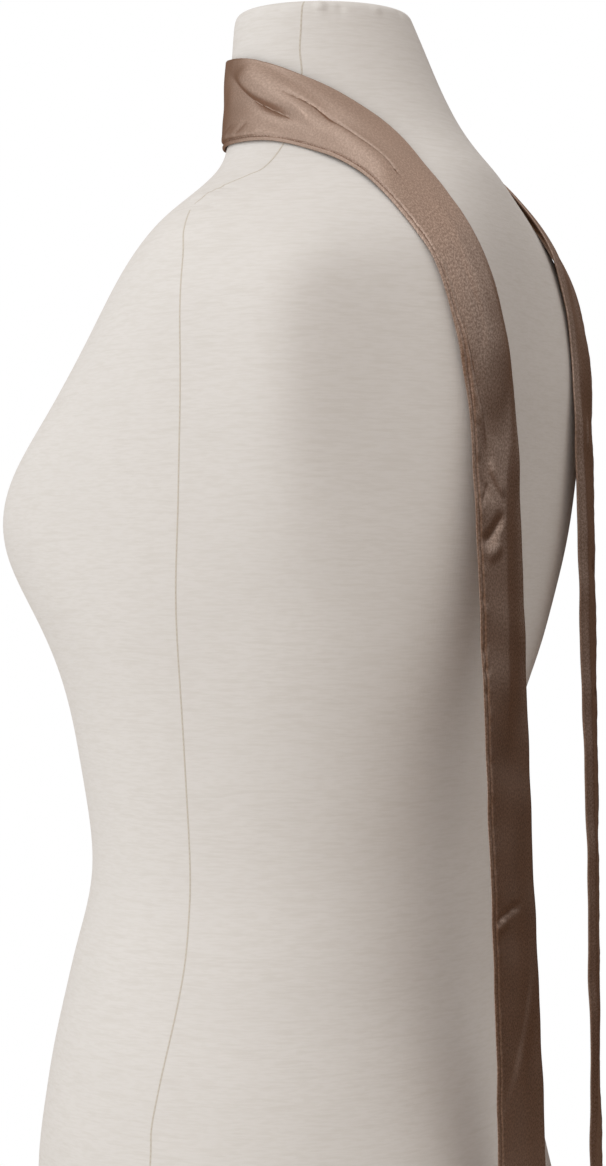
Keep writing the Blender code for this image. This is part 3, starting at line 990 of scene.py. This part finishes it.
# A glow of the room: its brightest direction in degrees, the cosines between which it grows, and its colour
Glow = namedtuple("Glow", "azimuth elevation low high colour")
ROOM = (0.207, 0.125, 0.070)
ROOM_SHADE = Glow(225, -20, 0.3, 0.9, (0.052, 0.030, 0.017))
FRONT_AND_ABOVE = (
    Glow(48, 0, -0.3, 0.95, (0.745, 0.820, 0.875)),
    Glow(200, 70, 0.2, 0.72, (0.570, 0.610, 0.640)),
)
BLACK = (0.0, 0.0, 0.0)
WHITE = (1.0, 1.0, 1.0)

# A round soft lamp: size, power in watts, place and what it points at
Lamp = namedtuple("Lamp", "name size power place target")
NECK_LIGHT = Lamp("neck_light", 0.5, 0.55, (0.88, -0.10, 0.80), (0.0, 0.0, 0.72))

FLOOR_COLOUR = (0.86, 0.85, 0.83)
FLOOR_ROUGHNESS = 0.9
FLOOR_GAP = 0.0005
FLOOR_SIDES = 96


class SCARF_OT_stage(bpy.types.Operator):
    """Make the pale floor, the soft light and the camera"""

    bl_idname = "scarf.stage"
    bl_label = "Stage"

    def execute(self, context):
        settings = context.scene.stage
        self.floor(context, settings)
        self.light(context)
        self.camera(context, settings)
        return {"FINISHED"}

    def floor(self, context, settings):
        material, tree, shader = new_material("floor")
        feed(tree, shader, {"Base Color": tone(FLOOR_COLOUR), "Roughness": FLOOR_ROUGHNESS})
        bm = bmesh.new()
        bmesh.ops.create_circle(bm, cap_ends=True, segments=FLOOR_SIDES, radius=settings.floor_radius)
        mesh = mesh_from(bm, "floor")
        mesh.materials.append(material)
        floor = bpy.data.objects.new("floor", mesh)
        floor.location.z = -FLOOR_GAP
        context.scene.collection.objects.link(floor)

    def light(self, context):
        """A soft glow at the front left and one above, in a dim warm room on a white ground, and a lamp."""
        world = bpy.data.worlds.new("studio")
        world.use_nodes = True
        context.scene.world = world
        tree = world.node_tree
        tree.nodes.clear()
        direction = add(tree, "ShaderNodeTexCoord").outputs["Generated"]
        room = self.glow_colour(tree, direction, ROOM_SHADE, ROOM)
        for glow in FRONT_AND_ABOVE:
            room = mixed(tree, 1.0, room, self.glow_colour(tree, direction, glow, BLACK), blend="ADD")
        soft = add(tree, "ShaderNodeBackground", {"Color": room}).outputs[0]
        ground = add(tree, "ShaderNodeBackground", {"Color": tone(WHITE)}).outputs[0]
        seen = add(tree, "ShaderNodeLightPath").outputs["Is Camera Ray"]
        both = add(tree, "ShaderNodeMixShader", {"Fac": seen, 1: soft, 2: ground}).outputs[0]
        add(tree, "ShaderNodeOutputWorld", {"Surface": both})
        context.scene.view_settings.view_transform = "Standard"
        self.soft_box(context, NECK_LIGHT)

    def soft_box(self, context, lamp):
        """The lamp at its place, turned to its target."""
        light = bpy.data.lights.new(lamp.name, "AREA")
        light.shape = "DISK"
        light.size = lamp.size
        light.energy = lamp.power
        box = bpy.data.objects.new(lamp.name, light)
        box.location = lamp.place
        box.rotation_mode = "QUATERNION"
        box.rotation_quaternion = (Vector(lamp.place) - Vector(lamp.target)).to_track_quat("Z", "Y")
        context.scene.collection.objects.link(box)

    def glow_colour(self, tree, direction, glow, elsewhere):
        """A glow's colour towards its brightest direction, and another colour elsewhere."""
        turn, rise = math.radians(glow.azimuth), math.radians(glow.elevation)
        toward = math.sin(turn) * math.cos(rise), -math.cos(turn) * math.cos(rise), math.sin(rise)
        cosine = add(tree, "ShaderNodeVectorMath", {0: direction, 1: toward}, operation="DOT_PRODUCT")
        return layered(
            tree, cosine.outputs["Value"], glow.low, glow.high, 1.0, tone(elsewhere), tone(glow.colour),
        )

    def camera(self, context, settings):
        lens = bpy.data.cameras.new("camera")
        lens.lens = settings.lens
        lens.sensor_width = 36.0
        azimuth = settings.camera_azimuth
        back = Vector((math.sin(azimuth), -math.cos(azimuth), 0.0))
        right = Vector((math.cos(azimuth), math.sin(azimuth), 0.0))
        camera = bpy.data.objects.new("camera", lens)
        camera.location = back * settings.camera_distance + right * settings.camera_shift
        camera.location.z = settings.camera_height
        camera.rotation_mode = "QUATERNION"
        camera.rotation_quaternion = (-back).to_track_quat("-Z", "Y")
        context.scene.collection.objects.link(camera)
        context.scene.camera = camera


class VIEW3D_PT_scarf(bpy.types.Panel):
    """Lists the steps that make the scarf and its form"""

    bl_idname = "VIEW3D_PT_scarf"
    bl_label = "Skinny scarf"
    bl_space_type = "VIEW_3D"
    bl_region_type = "UI"
    bl_category = "Scarf"

    def draw(self, context):
        for operator in OPERATORS:
            self.layout.operator(operator.bl_idname)


SETTINGS = {
    "form_cover": FormCoverSettings,
    "cover_seams": CoverSeamSettings,
    "satin": SatinSettings,
    "edge_seam": EdgeSeamSettings,
    "stage": StageSettings,
}
OPERATORS = (
    DRESSFORM_OT_cover, DRESSFORM_OT_cover_seams,
    SCARF_OT_satin_tube, SCARF_OT_edge_stitches, SCARF_OT_stage,
)


def register():
    for group in (*SETTINGS.values(), *OPERATORS, VIEW3D_PT_scarf):
        bpy.utils.register_class(group)
    for name, group in SETTINGS.items():
        setattr(bpy.types.Scene, name, bpy.props.PointerProperty(type=group))


def unregister():
    for name in SETTINGS:
        delattr(bpy.types.Scene, name)
    for group in (VIEW3D_PT_scarf, *reversed(OPERATORS), *SETTINGS.values()):
        bpy.utils.unregister_class(group)


def main():
    """Make every piece and the stage."""
    register()
    bpy.ops.dressform.cover()
    bpy.ops.dressform.cover_seams()
    bpy.ops.scarf.satin_tube()
    bpy.ops.scarf.edge_stitches()
    bpy.ops.scarf.stage()


if __name__ == "__main__":
    main()
